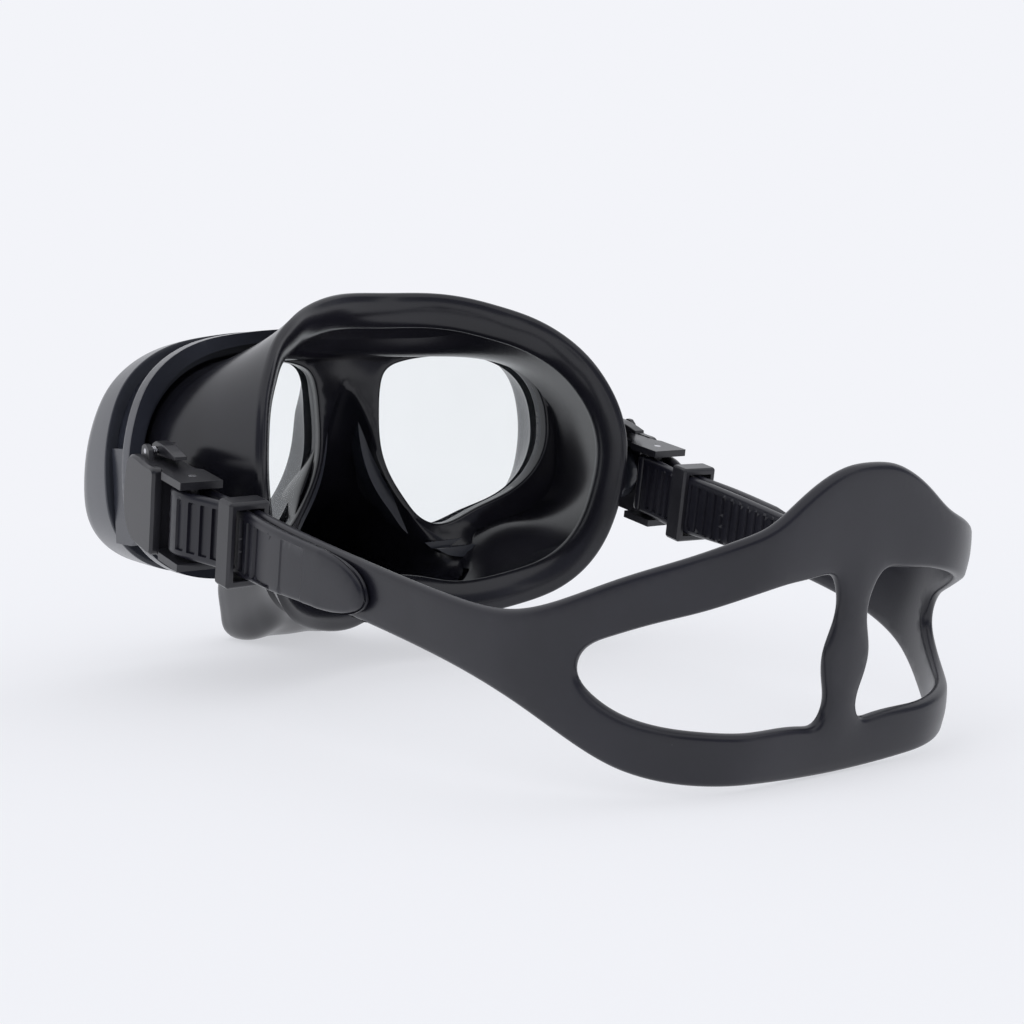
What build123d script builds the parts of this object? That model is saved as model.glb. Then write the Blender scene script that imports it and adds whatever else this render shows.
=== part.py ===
# Two-window diving mask: silicone skirt with a nose pocket, a swept plastic frame, two glass
# lenses under separate bezels, and a split silicone head strap that passes round a roller in a
# swivelling buckle on each side.  Millimetres, +Z up, lenses face -Y, the strap loop runs to +Y,
# +X is the wearer's left.  The mask stands on its nose pocket and on the lower strap band.
from build123d import *

import os
from math import cos, radians, sin, tan

os.makedirs("parts", exist_ok=True)

# ---------------------------------------------------------------- driving dimensions
SWEEP = tan(radians(9.5))        # each lens leans back by 9.5 degrees towards the temple
BEZEL_FRONT = -110.2             # layer faces, as Y on the centre plane
GLASS_FRONT = -100.0
GLASS_BACK = -96.0
PLATE_BACK = -92.0
PANEL_BACK = -88.5
RING_FRONT = -85.5
RING_BACK = -80.0
FLARE_FRONT = -79.6              # flat front of the skirt's flare
FIT = 0.3                        # running clearance round parts that move or seat

RIM_Y = -57.0                    # skirt rim on the centre plane
RIM_TEMPLE_Y = -18.5             # skirt rim at the temples
RIM_HALF_WIDTH = 67.0
SKIRT_WALL = 3.0
LIP_WIDTH = 12.0
LIP_THICK = 2.6

SWIVEL_Y = -48.0                 # lateral axis the strap loop swings about
SWIVEL_Z = 61.0
DROOP = 11.5                     # the loop hangs this many degrees below level at rest
LOOP_BACK = 200.1                # outer face of the strap behind the swivel axis
STRAP_THICK = 3.2
STRAP_TOP = 9.6                  # edges of the side arms, measured from the swivel axis
STRAP_BOTTOM = -10.0
ARM_END = 38.0                   # the two strap layers run parallel behind this point
ARM_X = 79.7
LAYER_PITCH = 3.9                # main layer to tail layer
TAIL_END = 111.0

ROLLER_X = 86.0
ROLLER_Y = 20.0                  # behind the swivel axis, along the arm
ROLLER_RADIUS = 2.5
WRAP_RADIUS = ROLLER_RADIUS + FIT + STRAP_THICK / 2

BUCKLE_IN = 87.0                 # inner face of the buckle's base plate
BUCKLE_OUT = 91.3
PLATE_TOP = 13.0                 # outer faces of the buckle's upper and lower plates
PLATE_BOTTOM = -13.4
PLATE_THICK = 2.3
KEEPER_Y = 45.0
KEEPER_LENGTH = 7.5
KEEPER_WALL = 2.0
LEVER_Z = 15.4                   # release lever pivot above the swivel axis
LEVER_Y = -2.0

S, C = sin(radians(DROOP)), cos(radians(DROOP))
PIVOT = (0, SWIVEL_Y, SWIVEL_Z)
LOOP_PLAN = Plane(origin=PIVOT, x_dir=(1, 0, 0), z_dir=(0, S, C))
LOOP_FRONT = Plane(origin=PIVOT, x_dir=(1, 0, 0), z_dir=(0, -C, S))
LOOP_SIDE = Plane(origin=PIVOT, x_dir=(0, C, -S), z_dir=(1, 0, 0))


# ---------------------------------------------------------------- outlines, seen from the front
def both_sides(half):
    """A closed run of points from the +X half, taken from the top centre to the bottom centre."""
    return half + [(-x, z) for x, z in reversed(half) if x > 0]


def inset(points, distance):
    """Move a closed clockwise run of points inwards."""
    moved = []
    for k, (x, z) in enumerate(points):
        ax, az = points[k - 1]
        bx, bz = points[(k + 1) % len(points)]
        length = ((bx - ax) ** 2 + (bz - az) ** 2) ** 0.5
        moved.append((x + distance * (bz - az) / length, z - distance * (bx - ax) / length))
    return moved


LENS = [(14.5, 97.5), (22, 101), (36, 102.3), (50, 101.7), (61.5, 98.6), (68.8, 93.8),
        (73.2, 87), (74.8, 79), (74.3, 70.5), (70, 61.5), (60, 53.5), (46, 47.8), (32, 43.5),
        (26, 46), (20.5, 52.5), (15.2, 61.5), (12.4, 70), (11.8, 84), (12.5, 92)]

FRAME_OUTER = [(0, 112.5), (16, 112.5), (32, 112.2), (48, 111), (62, 108.5), (73, 103.5),
               (81, 96), (86, 86), (88.7, 75), (89.3, 63), (87.3, 51), (81, 42), (71, 36),
               (57, 33.2), (44, 32.3), (33, 32.5), (27, 35.5)]
NOTCH = [(22, 41), (18, 46.5), (13.6, 53), (9.3, 61.5), (7.4, 68), (6.2, 76), (5, 84),
         (0, 89)]
WAIST = [(0, 109), (16, 109), (32, 108.7), (47, 107.4), (60, 105), (70, 100.5), (77.5, 93.5),
         (82, 85), (84.5, 75), (85, 63.5), (83, 53.5), (77.5, 45.5), (69, 39.8), (56.5, 36.9),
         (44, 36), (34, 36), (28.5, 37.5)]
BEZEL = [(5.5, 110.5), (16, 112), (32, 112), (48, 110.8), (62, 108.3), (73, 103.3), (81, 95.8),
         (85.8, 86), (88.4, 75), (89, 63), (87, 51), (81, 42.2), (71, 36.3), (57, 33.5),
         (44, 32.6), (34, 33), (28.5, 36), (23.5, 41.5), (19.2, 47), (14.7, 53.6), (10.4, 61.9),
         (8.5, 68.3), (7.3, 76), (6.4, 84), (4.6, 91), (3.2, 99), (3.4, 106)]

SKIRT_FRONT = [(0, 105.5), (28, 105.2), (51, 103.2), (64, 99), (73, 92), (78.5, 83.5),
               (81, 74), (81.2, 63), (79, 54), (73, 47), (63, 42.5), (50, 40.2), (36, 39),
               (18, 38.2), (0, 38)]
SKIRT_NEAR = [(0, 118), (22, 114.5), (42, 108), (60, 101), (72, 92), (77.5, 83.5), (79.8, 74),
              (80, 63), (78, 53), (72, 45.5), (62, 40.5), (49, 37), (35, 33), (18, 29), (0, 28)]
SKIRT_MID = [(0, 123.4), (20, 121.5), (38, 116), (54, 106), (66, 92), (73, 78), (75, 64),
             (73.5, 50), (67, 37.5), (56, 27.5), (44, 21.5), (32, 18.5), (21, 17.5), (10, 19.5),
             (0, 20.5)]
SKIRT_BACK = [(0, 126.5), (19, 125), (36, 120.5), (50, 111), (60, 97), (65.5, 82), (67.5, 68),
              (66.5, 52), (62, 38.5), (52, 25), (40, 18), (28, 14.5), (18, 14), (9, 17.5),
              (0, 19)]

POUCH_FRONT = [(0, 88.2), (3.8, 83), (5.2, 76), (6.5, 68), (8.4, 61.5), (12.7, 53), (17.1, 46),
               (21, 40), (22.6, 31), (22.2, 15), (20, 4), (14, -0.2), (0, -0.7)]
POUCH_SIDE = [(-86, 97), (-94, 92), (-103, 76), (-117, 58), (-135, 44), (-150, 32),
              (-157, 22), (-158.8, 10), (-155, 1.6), (-145, -0.2), (-132, 0.4), (-118, 8),
              (-104, 15), (-84, 19), (-63, 20.5), (-60, 32), (-70, 50), (-82, 78)]
POUCH_ROOM = [(-70, 97), (-89, 90), (-101.5, 74), (-115.5, 56), (-133, 41.5), (-148, 29.5),
              (-154, 20.5), (-155.8, 10.5), (-153, 4.8), (-145, 3), (-133, 3.6), (-119, 11),
              (-105, 18), (-84, 22), (-56, 24), (-48, 45), (-52, 75)]


# ---------------------------------------------------------------- shape helpers
def curve_face(points):
    """A face inside a smooth closed curve through the points."""
    return Face(Wire([Edge.make_spline([Vector(*p) for p in points], periodic=True)]))


def polygon_face(points):
    """A face inside a straight-sided closed outline."""
    return Face(Wire.make_polygon([Vector(*p) for p in points], close=True))


def push(face, direction, amount):
    """Extrude a loose face without touching the part being built."""
    return extrude(face, amount=amount, dir=direction, mode=Mode.PRIVATE)


def layer_block(front, back, reach=110.0):
    """A tall block between two swept faces, both leaning back towards the temples."""
    lean = reach * SWEEP
    plan = [(-reach, front + lean), (0, front), (reach, front + lean),
            (reach, back + lean), (0, back), (-reach, back + lean)]
    return push(polygon_face(plan), (0, 0, 1), 140)


def arm_x(y):
    """Centre of the strap's main layer on the +X side, at a distance behind the swivel axis."""
    t = y - ARM_END
    return ARM_X - tan(radians(3)) * t - t * t / (2 * 880)


def front_prism(face, start=-30.0, depth=140.0):
    """Push a face drawn from the front along -Y."""
    return push(Plane.XZ.offset(-start) * face, (0, -1, 0), depth)


def x_bar(radius, x_from, x_to, y, z):
    """A round bar along X, placed in the strap loop's own frame."""
    plane = LOOP_SIDE.offset(x_from)
    return push(plane * Pos(y, z) * Face(Wire.make_circle(radius)), plane.z_dir, x_to - x_from)


def loop_bar(radius, z_from, z_to, x, y):
    """A round bar across the strap's width."""
    plane = LOOP_PLAN.offset(z_from)
    return push(plane * Pos(x, y) * Face(Wire.make_circle(radius)), plane.z_dir, z_to - z_from)


def side_plate(points, x_from, x_to):
    """A plate drawn from the side in the strap loop's own frame."""
    plane = LOOP_SIDE.offset(x_from)
    return push(plane * polygon_face(points), plane.z_dir, x_to - x_from)


def plan_plate(points, z_from, z_to):
    """A plate drawn in the strap loop's plane."""
    plane = LOOP_PLAN.offset(z_from)
    return push(plane * polygon_face(points), plane.z_dir, z_to - z_from)


def skirt_shell(shrink):
    """The skirt's envelope: straight through the frame, then flaring to the rim."""
    front = inset(both_sides(SKIRT_FRONT), shrink)
    straight = front_prism(curve_face(front)) & layer_block(PLATE_BACK, RING_BACK)
    stations = [(-FLARE_FRONT, front), (67, inset(both_sides(SKIRT_NEAR), shrink)),
                (57, inset(both_sides(SKIRT_MID), shrink)),
                (15, inset(both_sides(SKIRT_BACK), shrink))]
    flare = loft([Plane.XZ.offset(d) * curve_face(p) for d, p in stations], ruled=True,
                 mode=Mode.PRIVATE)
    return straight, flare


# ---------------------------------------------------------------- mask body
OUTER_STRAIGHT, OUTER_FLARE = skirt_shell(0)
INNER_STRAIGHT, INNER_FLARE = skirt_shell(SKIRT_WALL)
LENS_FACE = curve_face(LENS)
LENS_HOLE = front_prism(LENS_FACE)
GLASS_SEAT = front_prism(curve_face(inset(LENS, -4.0))) & layer_block(GLASS_FRONT - 1, GLASS_BACK)
FRAME_WINDOW = front_prism(curve_face(inset(LENS, -1.2)))
POUCH_BODY = front_prism(curve_face(both_sides(POUCH_FRONT)), -50, 120) & push(
    Plane.YZ.offset(-40) * curve_face(POUCH_SIDE), (1, 0, 0), 80)

EAR_SIDE = [(-84, 46), (-84, 76), (-72, 76), (-63, 70), (-61, 66), (-61, 56), (-63, 51), (-72, 46)]
BEZEL_FACING = (0.057, -1, 0.2)  # the bezel's front face leans back at the top and the temple
LUG_RADIUS = 10.0
LUG_IN, LUG_OUT = 82.5, 86.7
PIN_RADIUS = 2.0

RING_WEB = 1.5
ROOM_GAP, RING_GAP = 1.0, 3.2

with BuildPart() as frame:
    add(front_prism(curve_face(both_sides(FRAME_OUTER + NOTCH))) & layer_block(RING_FRONT, RING_BACK))
    wide_room = front_prism(curve_face(inset(both_sides(SKIRT_FRONT), -RING_GAP)))
    add(wide_room & layer_block(RING_FRONT + RING_WEB, RING_BACK + 1), mode=Mode.SUBTRACT)
    add(front_prism(curve_face(both_sides(WAIST + NOTCH))) & layer_block(GLASS_FRONT,
                                                                        RING_FRONT + RING_WEB))
    for side in (1, -1):
        ear = push(Plane.YZ.offset(LUG_IN) * polygon_face(EAR_SIDE), (1, 0, 0), LUG_OUT - LUG_IN)
        neck = side_plate([(-22, -9), (-22, 4.8), (0, 4.8), (0, -10)], LUG_IN, LUG_OUT)
        lug = ear + neck + x_bar(LUG_RADIUS, LUG_IN, LUG_OUT, 0, 0)
        add(lug if side > 0 else mirror(lug, about=Plane.YZ, mode=Mode.PRIVATE))
    room_face = curve_face(inset(both_sides(SKIRT_FRONT), -ROOM_GAP))
    add(front_prism(room_face) & layer_block(PLATE_BACK, RING_BACK + 20), mode=Mode.SUBTRACT)
    add(front_prism(room_face, FLARE_FRONT + 20, 20 + FIT), mode=Mode.SUBTRACT)
    add(x_bar(PIN_RADIUS, -95, 95, 0, 0), mode=Mode.SUBTRACT)
    for cut in (GLASS_SEAT, FRAME_WINDOW & layer_block(GLASS_BACK, PLATE_BACK)):
        add(cut, mode=Mode.SUBTRACT)
        add(mirror(cut, about=Plane.YZ, mode=Mode.PRIVATE), mode=Mode.SUBTRACT)

with BuildPart() as bezel_left:
    add(front_prism(curve_face(BEZEL)) & layer_block(BEZEL_FRONT - 20, GLASS_FRONT))
    split(bisect_by=Plane(origin=(0, BEZEL_FRONT, 80), z_dir=BEZEL_FACING), keep=Keep.BOTTOM)
    slope = loft([Plane.XZ.offset(80) * curve_face(inset(BEZEL, -1.5)),
                  Plane.XZ.offset(122) * curve_face(inset(BEZEL, 2.2))], mode=Mode.PRIVATE)
    add(slope, mode=Mode.INTERSECT)
    flared = [(x + 0.12 * (x - 10), z) for x, z in inset(LENS, -2.8)]
    hood = loft([Plane.XZ.offset(80) * curve_face(inset(LENS, -0.4)),
                 Plane.XZ.offset(122) * curve_face(flared)], mode=Mode.PRIVATE)
    add(hood, mode=Mode.SUBTRACT)

with BuildPart() as lens_left:
    add(front_prism(curve_face(inset(LENS, -3.9))) & layer_block(GLASS_FRONT, GLASS_BACK))


# ---------------------------------------------------------------- skirt
def face_side(shift):
    """Everything on the wearer's side of the curved rim surface, moved by a distance."""
    rise = RIM_TEMPLE_Y - RIM_Y
    run = [(x, RIM_Y + shift + rise * (x / RIM_HALF_WIDTH) ** 2) for x in range(-90, 91, 15)]
    edges = [Edge.make_spline([Vector(*p) for p in run]),
             Edge.make_line(run[-1], (90, 60)), Edge.make_line((90, 60), (-90, 60)),
             Edge.make_line((-90, 60), run[0])]
    return push(Face(Wire(edges)), (0, 0, 1), 140)


with BuildPart() as skirt:
    add(OUTER_STRAIGHT)
    add(OUTER_FLARE)
    add(POUCH_BODY)
    add(INNER_STRAIGHT & layer_block(PANEL_BACK, RING_BACK), mode=Mode.SUBTRACT)
    add(INNER_FLARE & layer_block(PANEL_BACK, 60), mode=Mode.SUBTRACT)
    pouch_room = front_prism(curve_face(inset(both_sides(POUCH_FRONT), 2.4)), -30, 140) & push(
        Plane.YZ.offset(-40) * curve_face(POUCH_ROOM), (1, 0, 0), 80)
    add(pouch_room, mode=Mode.SUBTRACT)
    add(LENS_HOLE & layer_block(PLATE_BACK - 1, PANEL_BACK + 1), mode=Mode.SUBTRACT)
    add(mirror(LENS_HOLE & layer_block(PLATE_BACK - 1, PANEL_BACK + 1), about=Plane.YZ,
               mode=Mode.PRIVATE), mode=Mode.SUBTRACT)
    mouth = front_prism(curve_face(inset(both_sides(SKIRT_BACK), LIP_WIDTH)), 0, 70)
    add((OUTER_FLARE & face_side(-LIP_THICK)) - mouth)
    add(face_side(0), mode=Mode.SUBTRACT)
    add(push(Plane.XY.offset(-9) * polygon_face([(-40, -170), (40, -170), (40, -100), (-40, -100)]),
             (0, 0, 1), 9), mode=Mode.SUBTRACT)

# ---------------------------------------------------------------- strap
BAND = [(0, 55), (7, 54.4), (14, 51.8), (21.5, 47), (28.5, 42), (36, 38.6), (45, 33.8),
        (53.5, 27.2), (58.5, 21.6), (65, 13.2), (70, 10.2), (76, STRAP_TOP), (96, STRAP_TOP)]
BAND_LOW = [(96, STRAP_BOTTOM), (70, STRAP_BOTTOM), (65.5, -10.8), (59, -14.8), (52, -19),
            (44, -19.9), (28, -20.3), (14, -21.1), (0, -21.45)]
SLOT = [(5.6, 25), (8, 28.4), (14, 28.7), (22, 27.9), (32, 25.6), (41, 21.9), (48.8, 17.5),
        (54.5, 12.6), (58, 7), (58.4, 2.2), (56, -2.8), (51, -6), (40, -7), (26, -7.6),
        (12, -8.2), (7, -8), (5, -4), (6, 2), (6.9, 9), (4.7, 18)]
BACK_FLAT = 24.0
BACK_RADIUS = 31.0
SIDE_RADIUS = 91.7

with BuildPart() as strap_band:
    with BuildSketch(LOOP_PLAN.offset(-24)):
        with BuildLine():
            back_y = LOOP_BACK - STRAP_THICK / 2
            flat = Line((0, back_y), (BACK_FLAT, back_y))
            turn = JernArc(flat @ 1, (1, 0), BACK_RADIUS, -50)
            flank = JernArc(turn @ 1, turn % 1, SIDE_RADIUS, -30)
            arm = Spline(flank @ 1, (arm_x(95), 95), (arm_x(65), 65), (ARM_X, ARM_END),
                         tangents=[flank % 1, (0.052, -1)])
            lead = Spline(arm @ 1, (ROLLER_X - WRAP_RADIUS, ROLLER_Y),
                          tangents=[(0.052, -1), (0, -1)])
        trace(line_width=STRAP_THICK)
        mirror(about=Plane.YZ)
    extrude(amount=82)
    with BuildSketch(LOOP_FRONT.offset(20)):
        with BuildLine():
            Spline(*BAND[:-1], tangents=[(1, 0), (1, 0)])
            Line(BAND[-2], BAND[-1])
            Line(BAND[-1], BAND_LOW[0])
            Line(BAND_LOW[0], BAND_LOW[1])
            Spline(*BAND_LOW[1:], tangents=[(-1, 0), (-1, 0)])
            mirror(about=Plane.YZ)
        make_face()
        add(curve_face(SLOT), mode=Mode.SUBTRACT)
        add(curve_face([(-x, z) for x, z in SLOT]), mode=Mode.SUBTRACT)
    extrude(amount=-260, mode=Mode.INTERSECT)

with BuildPart() as strap_tail:
    with BuildSketch(LOOP_PLAN.offset(STRAP_BOTTOM)):
        with BuildLine():
            wrap = CenterArc((ROLLER_X, ROLLER_Y), WRAP_RADIUS, 180, 180)
            back = Spline((ROLLER_X + WRAP_RADIUS, ROLLER_Y), (ARM_X + LAYER_PITCH, ARM_END),
                          tangents=[(0, 1), (-0.052, 1)])
            Spline(back @ 1, *[(arm_x(y) + LAYER_PITCH, y) for y in (61, 84, TAIL_END)],
                   tangents=[(-0.052, 1), (-0.12, 1)])
        trace(line_width=STRAP_THICK)
    extrude(amount=STRAP_TOP - STRAP_BOTTOM)

with BuildPart() as strap:
    add(strap_band.part)
    add(strap_tail.part)
    add(mirror(strap_tail.part, about=Plane.YZ, mode=Mode.PRIVATE))

# ---------------------------------------------------------------- buckles and keepers
BASE_SIDE = [(-11.5, 0), (-11, 6), (-8.5, 10.5), (-4, PLATE_TOP), (10, PLATE_TOP),
             (10, PLATE_BOTTOM), (-4, PLATE_BOTTOM), (-8.5, -10.8), (-11, -6)]
COVER_SIDE = [(-10.4, 2), (-9.6, 8), (-7.4, 13), (-2, 13.8), (6, 13.2), (10.6, 12.4),
              (11, 9), (11, 0), (10.9, -9), (10.4, -12.4), (4, -12.9), (-3, -12.2), (-7.6, -9),
              (-10, -4)]
CHEEK_PLAN = [(BUCKLE_IN, -4), (BUCKLE_OUT, -4), (BUCKLE_OUT, 11.5), (92.8, 13.6), (92.8, 27),
              (79.6, 27), (79.6, 13.7), (BUCKLE_IN, 13.7)]
SHELF_PLAN = [(81.4, -5.5), (BUCKLE_OUT, -5.5), (BUCKLE_OUT, 11.5), (92.8, 13.6), (92.8, 27),
              (79.6, 27), (79.6, 13.7), (81.4, 12)]
HEAD_RADIUS = 3.6
POST_SIDE = [(-5, 12), (-4.4, 16.4), (-2.8, 17.4), (-1.2, 17.4), (0.6, 16.2), (1.6, 12)]
LEVER_SIDE = [(-6.2, 14.6), (-6, 16.6), (-3.6, 17.9), (2, 17.7), (7, 16.9), (10.4, 16.2),
              (10.6, 15.2), (2, 14.3), (-2, 13.9)]
LEVER_PIN_RADIUS = 0.8

with BuildPart() as buckle_left:
    add(side_plate(BASE_SIDE, BUCKLE_IN, BUCKLE_OUT))
    add(plan_plate(SHELF_PLAN, PLATE_TOP - PLATE_THICK, PLATE_TOP))
    add(plan_plate(CHEEK_PLAN, PLATE_BOTTOM, PLATE_BOTTOM + PLATE_THICK))
    add(side_plate(POST_SIDE, 81.5, 83.0))
    add(side_plate(POST_SIDE, 89.8, BUCKLE_OUT))
    add(x_bar(PIN_RADIUS + 0.1, 80, 95, 0, 0), mode=Mode.SUBTRACT)
    add(x_bar(HEAD_RADIUS + 0.2, 89.8, 95, 0, 0), mode=Mode.SUBTRACT)
    add(loop_bar(1.2, PLATE_BOTTOM - 1, PLATE_TOP + 1, ROLLER_X, ROLLER_Y), mode=Mode.SUBTRACT)
    add(x_bar(LEVER_PIN_RADIUS, 80, 95, LEVER_Y, LEVER_Z), mode=Mode.SUBTRACT)

with BuildPart() as buckle_cover_left:
    add(push(LOOP_SIDE.offset(BUCKLE_OUT) * curve_face(COVER_SIDE), (1, 0, 0), 2.9))
    chamfer(buckle_cover_left.faces().sort_by(Axis.X)[-1].edges(), 0.8)

with BuildPart() as swivel_pin_left:
    add(x_bar(PIN_RADIUS, 80.8, 91.1, 0, 0))
    add(x_bar(HEAD_RADIUS, 89.9, 91.1, 0, 0))
    add(x_bar(HEAD_RADIUS - 0.4, 80.2, LUG_IN, 0, 0))

with BuildPart() as roller_left:
    add(loop_bar(ROLLER_RADIUS, -10.9, 10.5, ROLLER_X, ROLLER_Y))
    add(loop_bar(1.3, -12, 12, ROLLER_X, ROLLER_Y), mode=Mode.SUBTRACT)

with BuildPart() as roller_pin_left:
    add(loop_bar(1.2, PLATE_BOTTOM, PLATE_TOP, ROLLER_X, ROLLER_Y))

with BuildPart() as release_lever_left:
    add(side_plate(LEVER_SIDE, 83.4, 87.4))
    add(x_bar(LEVER_PIN_RADIUS + 0.1, 80, 95, LEVER_Y, LEVER_Z), mode=Mode.SUBTRACT)

with BuildPart() as lever_pin_left:
    add(x_bar(LEVER_PIN_RADIUS, 81.5, BUCKLE_OUT, LEVER_Y, LEVER_Z))

with BuildPart() as lever_spring_left:
    start = LOOP_SIDE.offset(87.7).from_local_coords(Vector(LEVER_Y, LEVER_Z, 0))
    coil = Helix(pitch=0.62, height=1.7, radius=LEVER_PIN_RADIUS + 0.24, center=start,
                 direction=(1, 0, 0))
    with BuildSketch(Plane(origin=coil @ 0, z_dir=coil % 0)):
        Circle(0.26)
    sweep(path=coil, is_frenet=True)

KEEPER_PLANE = Plane(LOOP_PLAN.location * Location((81.65, KEEPER_Y, -0.2), (0, 0, 3.5)))
with BuildPart(KEEPER_PLANE) as keeper_left:
    Box(12.7, KEEPER_LENGTH, 24.8)
    chamfer(keeper_left.edges(), 0.7)
    Box(8.7, KEEPER_LENGTH + 2, 20.4, mode=Mode.SUBTRACT)

# ---------------------------------------------------------------- export
single = {"frame": frame.part, "skirt": skirt.part, "strap": strap.part}
left = {"bezel": bezel_left, "lens": lens_left, "buckle": buckle_left,
        "buckle_cover": buckle_cover_left, "swivel_pin": swivel_pin_left,
        "roller": roller_left, "roller_pin": roller_pin_left,
        "release_lever": release_lever_left, "lever_pin": lever_pin_left,
        "lever_spring": lever_spring_left, "keeper": keeper_left}
pieces = dict(single)
for name, piece in left.items():
    pieces[name + "_left"] = piece.part
    pieces[name + "_right"] = mirror(piece.part, about=Plane.YZ)
for name, piece in pieces.items():
    piece.label = name
    export_step(piece, f"parts/{name}.step")
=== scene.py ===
from math import cos, pi, radians, sin, tan

import bmesh
import bpy
import numpy as np
from mathutils import Matrix, Vector, geometry


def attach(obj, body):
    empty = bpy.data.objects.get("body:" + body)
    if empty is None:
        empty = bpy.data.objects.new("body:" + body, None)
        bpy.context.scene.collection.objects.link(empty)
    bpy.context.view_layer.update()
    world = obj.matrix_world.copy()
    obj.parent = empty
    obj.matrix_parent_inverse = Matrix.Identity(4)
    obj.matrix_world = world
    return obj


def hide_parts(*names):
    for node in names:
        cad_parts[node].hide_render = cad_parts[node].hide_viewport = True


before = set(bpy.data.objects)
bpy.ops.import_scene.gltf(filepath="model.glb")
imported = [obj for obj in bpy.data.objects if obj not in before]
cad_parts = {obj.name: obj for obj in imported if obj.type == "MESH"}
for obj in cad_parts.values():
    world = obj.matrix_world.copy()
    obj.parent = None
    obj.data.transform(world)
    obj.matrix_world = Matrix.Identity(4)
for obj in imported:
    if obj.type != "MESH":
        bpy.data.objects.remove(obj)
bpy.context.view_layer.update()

# ------------------------------------------------------------------ sizes, in millimetres
MM = 0.001
SWEEP = tan(radians(9.5))        # each lens leans back this much towards the temple
BEZEL_FRONT = -110.2             # the bezel's front face leans back less than its rear
BEZEL_LEAN = 0.057
BEZEL_TILT = 0.2                 # and stands further forward towards its bottom
BEZEL_CREST = 2.5                # distance from the outline to the front edge
GLASS_FRONT = -100.0
PLATE_BACK = -92.0
PANEL_BACK = -88.5
RING_BACK = -80.0
RIM_Y = -57.0                    # skirt rim on the centre plane, and at the temples
RIM_TEMPLE_Y = -18.5
RIM_HALF_WIDTH = 67.0
INNER_WALL = 2.6                 # skirt wall at the frame
DROOP = radians(11.5)            # the strap loop hangs below level
SWIVEL = (0.0, -48.0, 61.0)
LOOP_BACK = 200.1
STRAP_THICK = 3.2
ARM_END = 38.0
ARM_X = 79.7
LAYER_PITCH = 3.9
TAIL_END = 107.0
ROLLER_X = 86.0
ROLLER_Y = 20.0
WRAP_RADIUS = 4.4                # middle of the strap round the roller
STRAP_TOP = 9.6                  # edges of the arms at the buckle
STRAP_BOTTOM = -10.0
HEAD_FLAT = 24.0                 # half of the straight run behind the head, and the bends after it
HEAD_RADIUS = 31.0
FLANK_RADIUS = 91.7

AROUND = 288                     # points round each skirt ring


# ------------------------------------------------------------------ curves
def cubic(points, count, closed=True):
    """Evenly spaced points along a smooth curve through the given ones."""
    p = np.array(points, float)
    if closed:
        p = np.vstack([p, p[:1]])
    step = np.linalg.norm(np.diff(p, axis=0), axis=1)
    slope = np.diff(p, axis=0) / step[:, None]
    last = len(p) - 1
    a = np.zeros((last + 1, last + 1))
    b = np.zeros((last + 1, p.shape[1]))
    for i in range(1, last):
        a[i, i - 1:i + 2] = step[i], 2 * (step[i - 1] + step[i]), step[i - 1]
        b[i] = 3 * (step[i] * slope[i - 1] + step[i - 1] * slope[i])
    if closed:
        a[0, 0], a[0, last] = 1, -1
        a[last, last - 1] = step[0]
        a[last, last] = 2 * (step[-1] + step[0])
        a[last, 1] = step[-1]
        b[last] = 3 * (step[0] * slope[-1] + step[-1] * slope[0])
    else:
        a[0, 0], a[0, 1], b[0] = 2, 1, 3 * slope[0]
        a[last, last], a[last, last - 1], b[last] = 2, 1, 3 * slope[-1]
    tangent = np.linalg.solve(a, b)
    u = np.linspace(0, 1, 24, endpoint=False)[:, None]
    runs = []
    for i in range(last):
        runs.append((2 * u ** 3 - 3 * u ** 2 + 1) * p[i] + (3 * u ** 2 - 2 * u ** 3) * p[i + 1]
                    + step[i] * ((u ** 3 - 2 * u ** 2 + u) * tangent[i] + (u ** 3 - u ** 2) * tangent[i + 1]))
    dense = np.vstack(runs + [p[-1:]])
    along = np.concatenate([[0], np.cumsum(np.linalg.norm(np.diff(dense, axis=0), axis=1))])
    want = np.linspace(0, along[-1], count + 1)[:-1] if closed else np.linspace(0, along[-1], count)
    return np.column_stack([np.interp(want, along, dense[:, k]) for k in range(p.shape[1])])


def both(half):
    """A closed run from the +X half, which goes from the top centre to the bottom centre."""
    mirrored = [(-p[0],) + tuple(p[1:]) for p in reversed(half) if p[0] > 0]
    return list(half) + mirrored


def ring(half, count=AROUND):
    return cubic(both(half), count)


def outward(loop):
    """Unit normals of a closed clockwise (x, z) loop, pointing outwards."""
    d = np.roll(loop, -1, axis=0) - np.roll(loop, 1, axis=0)
    d /= np.linalg.norm(d, axis=1)[:, None]
    return np.column_stack([-d[:, 1], d[:, 0]])


def swept(loop, y):
    """Put an (x, z) loop on a plane that leans back towards the temples."""
    loop = np.asarray(loop, float)
    return np.column_stack([loop[:, 0], y + SWEEP * np.abs(loop[:, 0]), loop[:, 1]])


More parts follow.
